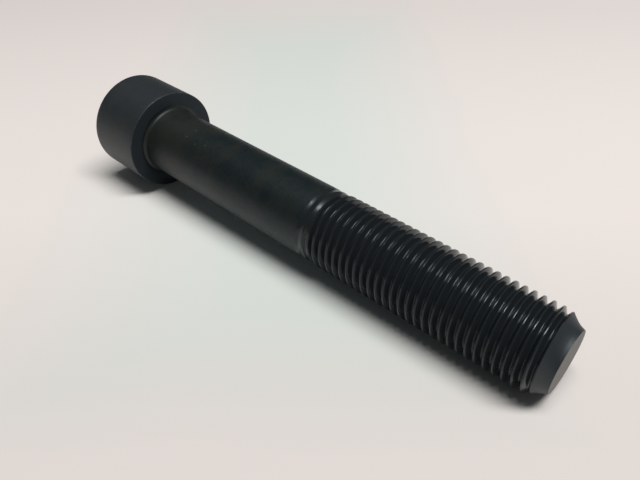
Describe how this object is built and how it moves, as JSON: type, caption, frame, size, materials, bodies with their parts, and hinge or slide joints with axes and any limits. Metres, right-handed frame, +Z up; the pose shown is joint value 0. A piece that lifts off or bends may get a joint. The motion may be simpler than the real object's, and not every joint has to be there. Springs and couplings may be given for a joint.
{
  "type": "hex socket cap screw",
  "caption": "Black hex socket cap screw with a smooth round head, a plain shank and a fine right-hand thread over half its length.",
  "frame": {"origin": "centre of the footprint on the surface that the screw lies on", "axes": "+Z up, point towards +X, head towards -X; the screw's own axis lies in the XZ plane and falls 2.3 degrees towards the point"},
  "size_m": [0.1044, 0.021, 0.0215],
  "materials": {
    "black_oxide_steel": "black oxide, satin"
  },
  "bodies": {
    "root": {"cap_screw": "black_oxide_steel"}
  },
  "joints": []
}
